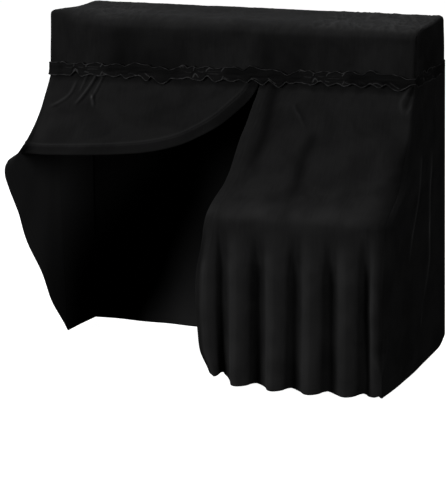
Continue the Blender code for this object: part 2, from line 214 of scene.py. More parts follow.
# The folds of one repeat, as creases: x from its start and height from the seam
BAND_FOLDS = (
    (((-12, 20), (0, 29), (9, 21)), 3, 2.2, 0.5), (((53, 29), (51, 18), (48, 4)), 3, 2, 0.6),
    (((100, 8), (108, 20), (128, 27)), 3.2, 2.2, 0.8), (((164, 10), (172, 22), (184, 32)), 3, 2.2, 0.6),
    (((44, -20), (57, 1), (77, -20)), 3.2, 2.6, 0.9), (((94, -7), (122, -12)), 2.8, 1.6, 0.5),
    (((166, -21), (176, -1)), 3, 1.8, 0.5), (((174, -9), (204, -18)), 2.8, 1.8, 0.6),
    (((236, -20), (237, 0)), 3, 1.2, 0.3), (((240, -5), (270, -20)), 3, 1.4, 0.6),
    (((284, -12), (308, -9), (346, -28)), 3.4, 2.4, 0.9), (((354, -2), (404, -32)), 3.4, 2.6, 0.9),
    (((104, 10), (135, 11), (168, 10)), 3, 1.4, 0.6), (((100, 1), (135, 3), (166, 2)), 3, 1.2, 0.6),
    (((6, 7), (30, 4), (48, 6)), 3.2, 1, 0.5), (((62, 12), (80, 8), (98, 10)), 3, 1, 0.5),
)

# The left leaf. Columns of faces from row to row of its table, closer together where its creases are:
LEFT_LEAF_COLUMNS = [7] * 11 + [30, 42, 22] + [11] * 7
LEFT_LEAF_ROWS = 170
LEAF_TUCK = 0.024  # how far the leaf hangs in before it spreads over the key block
TUCK_ROW = 9.5  # the row of LEFT_LEAF that hangs in most,
TUCK_ROWS = 4.5  # and the rows to each side of it that share in that
HEM_WIDTH = 0.040  # the turned-up hem of its free edge
LEFT_LEAF_CREASES = (
    (((-632, 1092), (-646, 1034), (-682, 1000), (-728, 980)), 6.5, 3.6, 0.6),
    (((-588, 1136), (-600, 1080), (-614, 1026)), 6, 2.8, 0.5),
    (((-546, 1136), (-560, 1090), (-590, 1030), (-624, 982)), 7, 5, 0.9),
    (((-516, 1136), (-532, 1080), (-548, 1030), (-550, 1010)), 6.5, 3.8, 0.6),
    (((-560, 1036), (-546, 1012), (-532, 985)), 6, 3.4, 0.6),
)
NEAR_SLIT_FOLD = (((45, 1110), (32, 1050), (-10, 1005), (-85, 960)), 26, 5, 0.9)

# The right leaf. Height and x of its free edge:
RIGHT_LEAF_EDGE = (
    (1.122, SLIT_X), (1.080, SLIT_X), (1.040, 0.124), (1.000, 0.111), (0.900, 0.084), (0.780, 0.074),
    (0.650, 0.059), (0.540, 0.042), (0.420, 0.020), (0.300, 0.016), (0.200, 0.020), (0.110, 0.027),
    (0.030, 0.062), (0.000, 0.078),
)
# Its folds, each one a slope that rises to a crest, goes on level and drops steeply back:
FLANKS = (
    # x of the steep drop where the folds start, half way and at the hem, then the depths half way and
    # at the hem of the crest before it and of the valley after it
    (0.100, 0.107, 0.106, -0.387, -0.368, -0.364, -0.341),
    (0.254, 0.259, 0.265, -0.404, -0.421, -0.371, -0.378),
    (0.401, 0.408, 0.411, -0.408, -0.436, -0.375, -0.392),
    (0.542, 0.549, 0.555, -0.410, -0.434, -0.372, -0.387),
    (0.679, 0.686, 0.688, -0.404, -0.414, -0.368, -0.366),
)
FOLDS = len(FLANKS) + 1  # the last one ends at the right front corner
END_DEPTH_HALF_WAY = -0.396  # of that corner
END_DEPTH_AT_HEM = -0.372
FREE_EDGE_DEPTH_HALF_WAY = -0.372
FREE_EDGE_DEPTH_AT_HEM = -0.345
VALLEY_BEYOND = 0.0180  # from a steep drop to the bottom of the valley
FOLD_START = 0.640  # the folds grow from this height
FOLD_FULL = 0.420  # to this height
FOLD_COLUMNS = 36
RIGHT_LEAF_ROWS = 205
# One fold from valley to valley: the share of its width, how much it has risen from the first valley,
# and how much it has dropped to the next one
SECTION = (
    (0, 0, 0), (0.06, 0.02, 0), (0.12, 0.08, 0), (0.18, 0.22, 0), (0.235, 0.45, 0), (0.285, 0.68, 0),
    (0.33, 0.83, 0), (0.38, 0.93, 0), (0.43, 0.98, 0), (0.48, 1, 0), (0.54, 1, 0.03), (0.6, 1, 0.07),
    (0.66, 1, 0.11), (0.71, 1, 0.15), (0.76, 1, 0.2), (0.81, 1, 0.28), (0.855, 1, 0.43), (0.9, 1, 0.66),
    (0.95, 1, 0.9), (1, 1, 1),
)
SECTION_WIDTH = 0.145  # of a common fold, and its depth
SECTION_DEPTH = 0.033
HEM_SWING = 0.012  # the hem rides up by this between two crests,
HEM_HIGH_AT = 0.84  # most at this share of a fold,
HEM_HIGH_WIDTH = 0.34  # and within this share to each side of it
FREE_CORNER_RISE = 0.020  # and it rises by this at the free edge
SHELF_HEIGHT = 0.665  # where the leaf turns down over the key bed
SHELF_HALF = 0.05
SHELF_HIGHLIGHT = 0.42  # how strong the painted highlight is there,
LOBES_PART_AT = 0.372  # in two lobes that part at this x,
CREST_HIGHLIGHT = 0.82  # and how strong the painted highlight is along the folds' crests
RIGHT_LEAF_CREASES = (
    # the thin one, then the hollow beside it that runs down to the key bed
    (((286, 1040), (300, 1012), (318, 990), (345, 935)), 6, 2, 0.8),
    (((392, 960), (372, 890), (358, 835), (362, 740), (372, 690)), 24, -3.5, 0),
    # the long hollow from the band to the free edge
    (((205, 1115), (197, 1060), (185, 960), (165, 850), (122, 750)), 26, -4.5, 0),
    # the pucker at the corner: two lips and the hollow between them
    (((750, 1134), (728, 1095), (714, 1060), (734, 1012)), 6, 3, 0),
    (((778, 1126), (768, 1080), (757, 1050), (736, 1010)), 6, 2.6, 0),
    (((766, 1134), (750, 1095), (738, 1062), (736, 1035)), 9, -4, 0),
)

# The right end
RIGHT_END_COLUMNS = 180
RIGHT_END_ROWS = 150
RIGHT_FLARE = 0.007  # it hangs this much further out at the hem
SLOW_RISE = 0.034  # as much of its corner's rise as comes slowly, from before its middle
CORNER_SHARE_OF_SIDE = 0.14  # the rest comes within this share of its width
CORNER_BULGE = 0.016  # its front edge stands off by this between the key bed and the floor
CORNER_ROUND = 0.055  # the round of the right front corner, sharp only near the hem
SHARPER_ABOVE = 0.2  # as much of that round is left above the key bed
LEAST_ROUND = 0.002
CORNER_MEETS = 0.0020  # the right leaf reaches this much further, under the right end's edge
# points are (depth, height) here
RIGHT_END_CREASES = (
    (((60, 870), (46, 790), (10, 685), (-62, 566), (-114, 445)), 11, 2.1, 0.7),
    (((202, 870), (190, 780), (170, 690), (170, 560), (172, 442), (134, 340), (50, 210)), 11, 2.6, 0.7),
    (((88, 240), (75, 205), (64, 175)), 6, 1.8, 0.7),
    (((60, 1120), (100, 1020), (120, 900)), 12, -3, 0),
    (((250, 1120), (225, 1000), (235, 900)), 12, -2.5, 0),
)

# Seams, hems and pile
PLAIN_HEM = 0.030  # the turned-up hem of every panel but the left leaf
HEM_PROUD = 0.0012  # its second layer
HEM_RIDGE = 0.0018  # the soft ridge above its stitches
HEM_ROLL = 0.0016  # how far its edge rolls in
STITCH = 0.0008  # how deep a row of stitches pulls the pile in
TOP_SEAM_SHARE = 0.02  # of a panel's height, where its relief fades to the seam
PALE_RELIEF = 0.005  # relief of this height gets a full painted highlight, where nothing else says how much

# Light and camera
CAMERA_AT = (3.395, -8.636, 1.050)
CAMERA_PITCH = 0.211
CAMERA_TURN = 0.384
CAMERA_LENS = 169.85
LAMPS_AIM_AT = (0, 0, -0.6)
LAMP_SIZE = 3.5
LAMPS = (
    # name, place, watts
    ("key", (-5.76, -5.37, 0.79), 292),
    ("fill", (6.69, -3.86, 1.47), 102),
    ("top", (-1.37, 2.37, 6.92), 235),
    ("soft", (0, -2.74, 6.92), 82),
)

# Colours
# the cap's velvet is a slightly darker copy of the skirt's: painted shade
CAP_VELVET = (0.0108, 0.0108, 0.0110)
CAP_VELVET_LIGHT = (0.0178, 0.0178, 0.0180)
VELVET = (0.0115, 0.0115, 0.0117)
VELVET_LIGHT = (0.0190, 0.0190, 0.0192)
# painted highlight of crests, creases, the shelf and the cap's top
PAINTED_HIGHLIGHT = (0.0360, 0.0360, 0.0364)
# painted shade
PAINTED_SHADE = (0.0050, 0.0050, 0.0051)
# the brightest painted glint, where the painted highlight goes above 1
PAINTED_GLINT = (0.1300, 0.1300, 0.1310)
# the band's velvet is a darker copy of the skirt's: painted shade of its gathers
BAND_VELVET = (0.0080, 0.0080, 0.0082)
BAND_LIGHT = (0.0125, 0.0125, 0.0127)
# painted highlight on the band's rolled rims
RIM_HIGHLIGHT = (0.0640, 0.0640, 0.0646)
BACKING = (0.0470, 0.0470, 0.0477)
SHEEN = 0.04
TUFT = 0.0011  # the size of the pile's tufts


# ---- Curves and unevenness


def mix(a, b, t):
    return a + (b - a) * t


def ease(t):
    """0 to 1, starting and ending level."""
    return (1 - np.cos(np.pi * np.clip(t, 0.0, 1.0))) / 2


def from_to(value, start, end):
    """0 at start, easing to 1 at end, which may lie above it or below it."""
    return ease((value - start) / (end - start))


def hump(t):
    """1 at 0, falling smoothly to 0 at -1 and 1."""
    return ease(1 - np.abs(t))


def bell(t):
    """1 at 0, falling off to both sides."""
    return np.exp(-(t**2))


def smooth(values, at):
    """A smooth curve through evenly spaced values, read at positions counted in values."""
    values = np.asarray(values, float)
    padded = np.concatenate((2 * values[:1] - values[1:2], values, 2 * values[-1:] - values[-2:-1]))
    i = np.clip(np.asarray(at).astype(int), 0, len(values) - 2)
    t = at - i
    before, a, b, after = padded[i], padded[i + 1], padded[i + 2], padded[i + 3]
    slope_a, slope_b = (b - before) / 2, (after - a) / 2
    return mix(a, b, t * t * (3 - 2 * t)) + t * (1 - t) * ((1 - t) * slope_a - t * slope_b)


def by_first(table, key, column=1):
    """A column of a table, read smoothly where its first column, which rises or falls, is key."""
    first = np.array([row[0] for row in table])
    sign = 1 if first[-1] > first[0] else -1
    at = np.interp(sign * key, sign * first, np.arange(len(table)))
    return smooth([row[column] for row in table], at)


def drift(x, y, size, seed):
    """Smooth unevenness between -1 and 1, in lumps of about this size."""
    dice = np.random.default_rng(seed).uniform(-1, 1, (128, 128))
    column, row = x / size + 50, y / size + 50
    i, j = np.floor(column).astype(int), np.floor(row).astype(int)
    s, t = column - i, row - j
    s, t = s * s * (3 - 2 * s), t * t * (3 - 2 * t)
    upper = mix(dice[j % 128, i % 128], dice[j % 128, (i + 1) % 128], s)
    lower = mix(dice[(j + 1) % 128, i % 128], dice[(j + 1) % 128, (i + 1) % 128], s)
    return mix(upper, lower, t)


def veins(x, y, size, seed):
    """Thin winding ridges, from 0 to 1, in cells of about this size."""
    bend_x = drift(x, y, size * 1.7, seed + 1) * size * 0.5
    bend_y = drift(x, y, size * 1.7, seed + 2) * size * 0.5
    return np.clip(1 - 2.6 * np.abs(drift(x + bend_x, y + bend_y, size, seed)), 0, 1) ** 1.5


def creases(x, y, table):
    """The relief of a table's soft creases."""
    x, y = x * 1000, y * 1000
    relief = np.zeros_like(x)
    for points, width, height, trough in table:
        at = np.linspace(0, len(points) - 1, 12 * (len(points) - 1) + 1)
        line = np.stack([smooth(values, at) for values in zip(*points)], -1)
        nearest = np.full(x.shape, np.inf)
        side = np.zeros_like(x)
        gone = np.zeros_like(x)
        for k, (a, b) in enumerate(zip(line[:-1], line[1:])):
            step = b - a
            t = np.clip(((x - a[0]) * step[0] + (y - a[1]) * step[1]) / (step @ step), 0, 1)
            off_x, off_y = x - a[0] - t * step[0], y - a[1] - t * step[1]
            away = np.hypot(off_x, off_y)
            closer = away < nearest
            nearest = np.where(closer, away, nearest)
            side = np.where(closer, np.sign(off_x * step[1] - off_y * step[0]), side)
            gone = np.where(closer, (k + t) / (len(line) - 1), gone)
        fade = ease(gone / 0.18) * ease((1 - gone) / 0.30)
        signed = nearest * -side
        shape = bell(signed / width) - trough * bell((signed - 1.7 * width) / (1.2 * width))
        relief += height * fade * shape
    return relief / 1000


# ---- The cover's surfaces: x, depth and height, for along and down from 0 to 1


def seam_height(x, depth):
    right = mix(SEAM_RIGHT, SEAM_RIGHT_BACK, depth / BACK)
    return mix(SEAM_LEFT, right, (x + HALF_WIDTH) / (2 * HALF_WIDTH))


def skirt_top(x, depth):
    return seam_height(x, depth) - 2 * SEAM


def cap_section(x, t):
    """(depth, height) of the cap's face.

    t counts the stretches: front drop, front round, top, back round, back drop.
    """
    front_face = FRONT + CAP_FRONT_LEAN
    rounded = mix(SHARPER_AT_LEFT, 1.0, from_to(x + HALF_WIDTH, 0.0, SHARPER_WITHIN))
    reach, radius = CAP_FRONT_REACH * rounded, CAP_FRONT_RADIUS * rounded
    drop, front_turn, flat, back_turn, back_drop = (np.clip(t - i, 0, 1) for i in range(5))
    front_turn, back_turn = front_turn * math.pi / 2, back_turn * math.pi / 2
    depth = mix(FRONT, front_face, ease(drop)) + reach * (1 - np.cos(front_turn))
    depth += (BACK - CAP_BACK_RADIUS - front_face - reach) * flat
    depth += CAP_BACK_RADIUS * np.sin(back_turn)
    height = mix(seam_height(x, FRONT), TOP - radius, drop) + radius * np.sin(front_turn)
    height -= TOP_SAG * np.sin(np.pi * flat) ** 2 + CAP_BACK_RADIUS * (1 - np.cos(back_turn))
    height -= (TOP - CAP_BACK_RADIUS - seam_height(x, BACK)) * back_drop
    return depth, height


def cap_to_frame(x, depth, height):
    """Points of the cap, in the frame, with its soft puff towards the top of its back."""
    up = from_to(height, 1.18, 1.32) * ease(depth / (1.25 * BACK))
    pull = from_to(-x, 0.30, 0.76) - 0.3 * from_to(x, 0.30, 0.76)
    corner = from_to(-x, 0.52, 0.76) * from_to(height, 1.24, 1.34) * from_to(depth, 0.312, 0.052)
    tip = from_to(-x, 0.62, 0.76) * from_to(height, 1.27, 1.33) * from_to(depth, 0.10, 0.0)
    raised = height + CAP_BACK_RISE * up + CAP_CORNER_RISE * corner + CAP_TIP_RISE * tip
    return to_frame(x + CAP_BACK_PULL * up * pull, depth, raised)


def left_leaf(along, down):
    at = along * (len(LEFT_LEAF) - 1)
    top_x, top_depth, edge_x, edge_depth, edge_height = (smooth(column, at) for column in zip(*LEFT_LEAF))
    turns = SIDE_FOLDS * at / SIDE_ROWS
    fold = SIDE_FOLD_DEPTH * down**1.5 * (1 - np.cos(2 * np.pi * turns)) / 2
    fold = np.where(at < SIDE_ROWS, fold, 0.0)
    corner = hump((at - FURTHEST_ROW) / CORNER_ROWS)
    tuck = LEAF_TUCK * from_to(down, 0.20, 0.85) * (1 - 0.85 * from_to(down, 0.90, 1.0))
    return (
        mix(top_x, edge_x, down**3) - fold + tuck * hump((at - TUCK_ROW) / TUCK_ROWS),
        mix(top_depth, edge_depth, down ** mix(SLOPE_EASE, CORNER_EASE, corner)),
        mix(skirt_top(top_x, top_depth), edge_height, down),
    )


def front_left(along, down):
    x, depth, height = left_leaf(along, down)
    return x - SLIT_GAP / 2 * along, depth, height


def fold_section():
    """SECTION, read at the columns of one fold, which are closer together where it turns."""
    table = np.array(SECTION)
    at = np.linspace(0, len(table) - 1, 1500)
    across, rise, fall = (smooth(column, at) for column in table.T)
    rise, fall = np.clip(rise, 0, 1), np.clip(fall, 0, 1)
    x, y = across * SECTION_WIDTH, (rise - fall) * SECTION_DEPTH
    length = np.hypot(np.diff(x), np.diff(y))
    turn = np.abs(np.diff(np.unwrap(np.arctan2(np.diff(y), np.diff(x))), prepend=0))
    weight = length / length.sum() + 0.6 * turn / turn.sum()
    gone = np.concatenate(([0.0], np.cumsum(weight))) / weight.sum()
    return [np.interp(steps(FOLD_COLUMNS), gone, values) for values in (across, rise, fall)]


def right_leaf(at, height):
    """(x, depth) of the right leaf's face, at counted in folds."""
    drop = from_to(height, HALF_WAY, 0.0)
    up = from_to(height, HALF_WAY, FOLD_START)
    lines = [by_first(RIGHT_LEAF_EDGE, height)]
    valleys = [mix(FREE_EDGE_DEPTH_HALF_WAY, FREE_EDGE_DEPTH_AT_HEM, drop)]
    crests = []
    for x_start, x_half_way, x_at_hem, crest, crest_at_hem, valley, valley_at_hem in FLANKS:
        lines.append(mix(mix(x_half_way, x_at_hem, drop), x_start, up) + VALLEY_BEYOND)
        crests.append(mix(crest, crest_at_hem, drop))
        valleys.append(mix(valley, valley_at_hem, drop))
    end = mix(END_DEPTH_HALF_WAY, END_DEPTH_AT_HEM, drop)
    lines.append(right_leaf_end(height))
    crests.append(end)
    valleys.append(end)
    lines, crests, valleys = np.array(lines), np.array(crests), np.array(valleys)
    share = (np.arange(FOLDS + 1) / FOLDS).reshape(-1, 1, 1)
    even = mix(lines[0], lines[-1], share)
    lines = mix(lines, even, from_to(height, FOLD_START, SEAM_LEFT))
    fold = np.clip(at.astype(int), 0, FOLDS - 1)
    column = (at - fold) * FOLD_COLUMNS
    across, rise, fall = (
        np.interp(column, np.arange(FOLD_COLUMNS + 1), values) for values in fold_section()
    )

    def of_fold(values, after=0):
        return np.take_along_axis(values, fold[None] + after, 0)[0]

    x = mix(of_fold(lines), of_fold(lines, 1), across)
    left, crest, right = of_fold(valleys), of_fold(crests), of_fold(valleys, 1)
    depth = left + (crest - left) * rise + (right - crest) * fall
    flat = by_first(KEY_BED_PROFILE, height)
    return x, mix(flat, depth, from_to(height, FOLD_START, FOLD_FULL))


def right_bulge(height):
    """How far the right end's front edge stands off between the key bed and the floor."""
    return CORNER_BULGE * from_to(height, 0.05, 0.25) * from_to(height, 0.95, 0.65)


def right_leaf_end(height):
    """The x of the edge where the right leaf meets the right end."""
    return LEAF_X + RIGHT_FLARE * (SEAM_RIGHT - height) / SEAM_RIGHT + right_bulge(height)


def round_off(to_edge, radius):
    """Half of a round edge: how far points lie from it, and how far they sink."""
    turn = math.pi / 4 * np.clip(1 - to_edge / radius, 0, 1)
    return np.where(turn > 0, radius * (1 - np.sin(turn)), to_edge), radius * (1 - np.cos(turn))


def corner_round(height):
    """The radius of the round at the right front corner. Its seam lies half way round it."""
    above = mix(1.0, SHARPER_ABOVE, from_to(height, 0.80, 0.96))
    return CORNER_ROUND * from_to(height, 0.07, 0.19) * above + LEAST_ROUND


def front_right(along, down):
    at = along * FOLDS
    height = mix(skirt_top(mix(SLIT_X, LEAF_X, along), FRONT), hem_height(at), down)
    x, depth = right_leaf(at, height)
    end = right_leaf_end(height)
    to_end, sinks = round_off(end - x, corner_round(height))
    under = CORNER_MEETS * from_to(along, 0.993, 1.0)
    return end - to_end + 0.6 * under, depth + sinks + under, height


def hem_height(at):
    """The hem of the right leaf's folds, which rides up between the crests and at the free edge."""
    beyond = at - np.floor(at) - HEM_HIGH_AT
    swing = hump(beyond / HEM_HIGH_WIDTH) + hump((beyond + 1) / HEM_HIGH_WIDTH)
    free = mix(0.6, 1.0, at) * from_to(at, 1.25, 0.90)
    return HEM + HEM_SWING * swing * from_to(at, 5.9, 5.6) + FREE_CORNER_RISE * free


def side_right(along, down):
    corner = np.clip(1 - (1 - along) / CORNER_SHARE_OF_SIDE, 0, 1)
    slow = np.clip((along - 0.25) / 0.70, 0, 1)
    foot = HEM + SLOW_RISE * slow**1.3 + (BACK_CORNER_RISE - SLOW_RISE) * corner**3
    height = mix(skirt_top(HALF_WIDTH, mix(FRONT, BACK, along)), foot, down)
    front = right_leaf(np.full_like(height, FOLDS), height)[1]
    out = HALF_WIDTH + RIGHT_BOW * np.sin(np.pi * along) * np.sin(np.pi * down)
    out = out + (SIDE_FLARE * along + RIGHT_FLARE) * down
    out = out + right_bulge(height) * from_to(along, 0.7, 0.0)
    depth = mix(front, BACK + BACK_FLARE * down, along)
    to_front, sinks = round_off(depth - front, corner_round(height))
    return out - sinks, front + to_front, height


def side_left(along, down):
    x, depth, height = left_leaf(np.zeros_like(along), down)
    bow = LEFT_BOW * np.sin(np.pi * along) * np.sin(np.pi * down)
    return mix(-HALF_WIDTH, x, along) - bow, mix(BACK + BACK_FLARE * down, depth + 2 * SEAM, along), height


def back(along, down):
    corner = np.clip(1 - along / CORNER_SHARE_OF_BACK, 0, 1)
    x = mix(WALL_X + (SIDE_FLARE + RIGHT_FLARE) * down, -WALL_X, along)
    height = mix(skirt_top(x, BACK), HEM + BACK_CORNER_RISE * corner**2, down)
    folds = np.sin(np.pi * BACK_FOLDS * along) ** 2
    return x, BACK + BACK_FLARE * down + BACK_FOLD_DEPTH * folds * ease(down), height


def band_path():
    """(x, depth, outward x, outward depth, distance) of the wall behind the band."""
    end = BACK - BAND_END - FRONT
    reach = 2 * HALF_WIDTH
    total = 2 * end + reach
    gone = np.linspace(0.0, total, BAND_COLUMNS + 1)
    x = np.clip(gone - end, 0, reach) - HALF_WIDTH
    depth = FRONT + np.maximum(np.clip(end - gone, 0, end), np.clip(gone - end - reach, 0, end))
    turns = ease((gone - end) / BAND_TURN + 0.5) + ease((gone - end - reach) / BAND_TURN + 0.5)
    angle = (turns - 1) * math.pi / 2
    return x, depth, np.sin(angle), -np.cos(angle), gone - total / 2


# ---- Making a sheet


def to_frame(x, depth, height):
    """Points of the cover, in the frame."""
    x, depth, height = np.broadcast_arrays(x, depth, height)
    return np.stack((x, depth - MIDDLE_DEPTH, height + FLOOR), -1)


def steps(count):
    return np.linspace(0.0, 1.0, count + 1)


def outward(points):
    """The unit normals of a grid of points, whose rows go down and columns to the right."""
    normal = np.cross(np.gradient(points, axis=0), np.gradient(points, axis=1))
    return normal / np.maximum(np.linalg.norm(normal, axis=-1, keepdims=True), 1e-12)


def lengths(points, axis):
    """How far each point lies along the cloth, in metres, averaged over the other direction."""
    step = np.linalg.norm(np.diff(points, axis=axis), axis=-1).mean(1 - axis)
    gone = np.concatenate(([0.0], np.cumsum(step)))
    return np.broadcast_to(gone if axis else gone[:, None], points.shape[:2])


def distance_to(points, line):
    """The distance of each point of a grid to the nearest of a line's points."""
    flat = points.reshape(-1, 3)
    best = np.full(len(flat), 9.0)
    for start in range(0, len(line), 40):
        some = line[start : start + 40]
        best = np.minimum(best, np.linalg.norm(flat[:, None] - some[None], axis=-1).min(1))
    return best.reshape(points.shape[:2])


def hem(away, width):
    """The relief of a turned-up hem: two layers below its stitches, and a ridge above them."""
    layer = HEM_PROUD * from_to(away, width + 0.003, width - 0.003)
    groove = STITCH * bell((away - width) / 0.0030)
    ridge = HEM_RIDGE * bell((away - width - 0.008) / 0.005)
    return layer - groove + ridge - HEM_ROLL * from_to(away, 0.005, 0.0)


def away_from_seams(along, down, at_start=0.0, at_end=0.0):
    """1 in a panel, easing to 0 at its top and, over these shares of its width, at its sides."""
    free = ease(down / TOP_SEAM_SHARE)
    if at_start:
        free = free * ease(along / at_start)
    if at_end:
        free = free * ease((1 - along) / at_end)
    return free


def hem_painted_light(away):
    """Painted light of the left leaf's hem: a painted highlight along the ridge above its stitches, and
    painted shade below.
    """
    ridge = bell((away - HEM_WIDTH - 0.007) / 0.0045)
    return 0.55 * ridge - 0.42 * from_to(away, HEM_WIDTH, HEM_WIDTH - 0.008)


def shadow_under_band(x, height):
    """Painted shadow on the front, under the band and just below it."""
    below = seam_height(x, FRONT) - height
    return 0.55 * from_to(below - 0.006 * drift(x, x, 0.03, 19), 0.056, 0.034)


def shade_at_corner(height):
    """Painted shade at the right front corner, above the key bed."""
    return 0.70 * from_to(height, 0.59, 0.67) * from_to(height, 0.99, 0.84)


def add(name, data):
    obj = bpy.data.objects.new(name, data)
    bpy.context.scene.collection.objects.link(obj)
    return obj


def cloth_piece(node, slot, points, relief, painted_light=None):
    """A sheet of cloth over a grid of points, raised by relief along its normals.

    The last argument gives the light or shade painted on the pile: 1 is a painted highlight, 2 a brighter
    painted glint and -1 painted shade; without it, raised relief gets a painted highlight and sunk relief
    painted shade.
    """
    shape = points.shape[:2]
    points = points + outward(points) * relief[..., None]
    index = np.arange(shape[0] * shape[1]).reshape(shape)
    quads = np.stack((index[1:, :-1], index[1:, 1:], index[:-1, 1:], index[:-1, :-1]), -1)
    name = node.replace("_panel", "") + "_cloth"
    mesh = bpy.data.meshes.new(name)
    mesh.from_pydata(points.reshape(-1, 3).tolist(), [], quads.reshape(-1, 4).tolist())
    mesh.shade_smooth()
    pile = np.stack((lengths(points, 1), lengths(points, 0), np.zeros(shape)), -1)
    mesh.attributes.new("pile", "FLOAT_VECTOR", "POINT").data.foreach_set("vector", pile.ravel())
    # painted highlight on raised relief and painted shade on sunk relief, unless a mask is given
    painted_light = np.clip(relief / PALE_RELIEF if painted_light is None else painted_light, -1, 2)
    mesh.attributes.new("painted_light", "FLOAT", "POINT").data.foreach_set("value", painted_light.ravel())
    obj = add(name, mesh)
    mesh.materials.append(MATERIALS[slot])
    mesh.materials.append(MATERIALS["backing"])
    thicken = obj.modifiers.new("Cloth thickness", "SOLIDIFY")
    thicken.thickness = CLOTH
    thicken.offset = -1
    thicken.material_offset = 1
    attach(obj, "root")
    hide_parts(node)
    return obj


# ---- Materials


def node_of(tree, kind, inputs, output, **settings):
    """The output of a new node, whose inputs are links or plain values."""
    made = tree.nodes.new(kind)
    for name, value in settings.items():
        setattr(made, name, value)
    for socket, value in inputs.items():
        if isinstance(value, bpy.types.NodeSocket):
            tree.links.new(value, made.inputs[socket])
        else:
            made.inputs[socket].default_value = value
    return made.outputs[output]


def attribute(tree, name, output):
    return node_of(tree, "ShaderNodeAttribute", {}, output, attribute_name=name)


def noise(tree, vector, scale, detail, stretch=(1, 1, 1), distortion=0.0):
    mapped = node_of(tree, "ShaderNodeMapping", {"Scale": stretch, "Vector": vector}, "Vector")
    inputs = {"Scale": scale, "Detail": detail, "Distortion": distortion, "Vector": mapped}
    return node_of(tree, "ShaderNodeTexNoise", inputs, "Fac")


def blend(tree, share, a, b):
    """Two patterns in one, with this share of the second."""
    return node_of(tree, "ShaderNodeMix", {0: share, 2: a, 3: b}, 0, data_type="FLOAT")


def tint(tree, factor, base, colour):
    """The base colour, turned to a plain one as factor goes from 0 to 1."""
    return node_of(tree, "ShaderNodeMix", {0: factor, 6: base, 7: (*colour, 1.0)}, 2, data_type="RGBA")


def clamped(tree, operation, value, number):
    return node_of(tree, "ShaderNodeMath", {0: value, 1: number}, 0, operation=operation, use_clamp=True)


def grey(level):
    return (level, level, level)


def ramp(tree, factor, stops):
    made = tree.nodes.new("ShaderNodeValToRGB")
    made.color_ramp.interpolation = "EASE"
    for element, (position, colour) in zip(made.color_ramp.elements, stops):
        element.position = position
        element.color = (*colour, 1.0)
    tree.links.new(factor, made.inputs["Fac"])
    return made.outputs["Color"]


def bump(tree, shader, pattern, strength, distance):
    inputs = {"Strength": strength, "Distance": distance, "Height": pattern}
    tree.links.new(node_of(tree, "ShaderNodeBump", inputs, "Normal"), shader.inputs["Normal"])


def new_material(name, **inputs):
    """A material, its node tree and its shader, with plain values on the shader's sockets."""
    material = bpy.data.materials.new(name)
    material.use_nodes = True
    shader = material.node_tree.nodes["Principled BSDF"]
    for socket, value in inputs.items():
        shader.inputs[socket.replace("_", " ")].default_value = value
    return material, material.node_tree, shader


def velvet(name, dark, light, highlight_colour):
    """Short-pile velvet, mottled as its pile lies, with the painted highlights, glints and shade that its
    pieces carry.
    """
    material, tree, shader = new_material(
        name, Metallic=0.0, Specular_IOR_Level=0.05, Sheen_Weight=SHEEN, Sheen_Roughness=0.35,
        Sheen_Tint=(0.95, 0.97, 1.0, 1.0),
    )
    pile = attribute(tree, "pile", "Vector")
    painted_light = attribute(tree, "painted_light", "Fac")
    mottle = noise(tree, pile, 7.0, 4.0, distortion=0.6)
    streaks = noise(tree, pile, 120.0, 2.0, stretch=(1.0, 0.12, 1.0))
    tufts = noise(tree, pile, 1 / TUFT, 2.0, stretch=(1.0, 0.8, 1.0))
    tone = blend(tree, 0.22, blend(tree, 0.30, mottle, streaks), tufts)
    colour = ramp(tree, tone, ((0.34, dark), (0.62, light)))
    # painted highlight, then the brighter painted glint above 1, then painted shade below 0
    colour = tint(tree, painted_light, colour, highlight_colour)
    colour = tint(tree, clamped(tree, "SUBTRACT", painted_light, 1.0), colour, PAINTED_GLINT)
    colour = tint(tree, clamped(tree, "MULTIPLY", painted_light, -1.0), colour, PAINTED_SHADE)
    tree.links.new(colour, shader.inputs["Base Color"])
    rough = ramp(tree, tufts, ((0.25, grey(0.80)), (0.75, grey(0.98))))
    tree.links.new(rough, shader.inputs["Roughness"])
    bump(tree, shader, blend(tree, 0.35, tufts, streaks), 0.35, 0.0008)
    return material


def backing(name):
    """The velvet's plain knitted back."""
    material, tree, shader = new_material(name, Metallic=0.0, Specular_IOR_Level=0.05)
    pile = attribute(tree, "pile", "Vector")
    inputs = {"Scale": 260.0, "Distortion": 2.0, "Vector": pile}
    wave = node_of(tree, "ShaderNodeTexWave", inputs, "Fac", wave_type="BANDS", bands_direction="X")
    knit = blend(tree, 0.5, wave, noise(tree, pile, 900.0, 2.0))
    dark = tuple(0.75 * c for c in BACKING)
    tree.links.new(ramp(tree, knit, ((0.2, dark), (0.8, BACKING))), shader.inputs["Base Color"])
    rough = ramp(tree, knit, ((0.2, grey(0.86)), (0.8, grey(0.98))))
    tree.links.new(rough, shader.inputs["Roughness"])
    bump(tree, shader, knit, 0.3, 0.0004)
    return material


MATERIALS = {
    "backing": backing("velvet_backing"),
    "cap_velvet": velvet("cap_velvet", CAP_VELVET, CAP_VELVET_LIGHT, PAINTED_HIGHLIGHT),
    "band_velvet": velvet("band_velvet", BAND_VELVET, BAND_LIGHT, RIM_HIGHLIGHT),
    "skirt_velvet": velvet("skirt_velvet", VELVET, VELVET_LIGHT, PAINTED_HIGHLIGHT),
}

# ---- The pieces


def cap_wrinkles(x, depth):
    """How wrinkled the cap's top is, and its fine wrinkles from front to back."""
    wrinkled = 0.30 + 0.70 * np.maximum(from_to(x, 0.25, 0.45), 0.6 * hump((x + 0.55) / 0.20))
    slant = x + 0.35 * depth
    fine = veins(slant, depth / 3.0, 0.024, 21) + 0.7 * veins(slant + 3, depth / 2.5, 0.015, 23)
    return wrinkled, fine


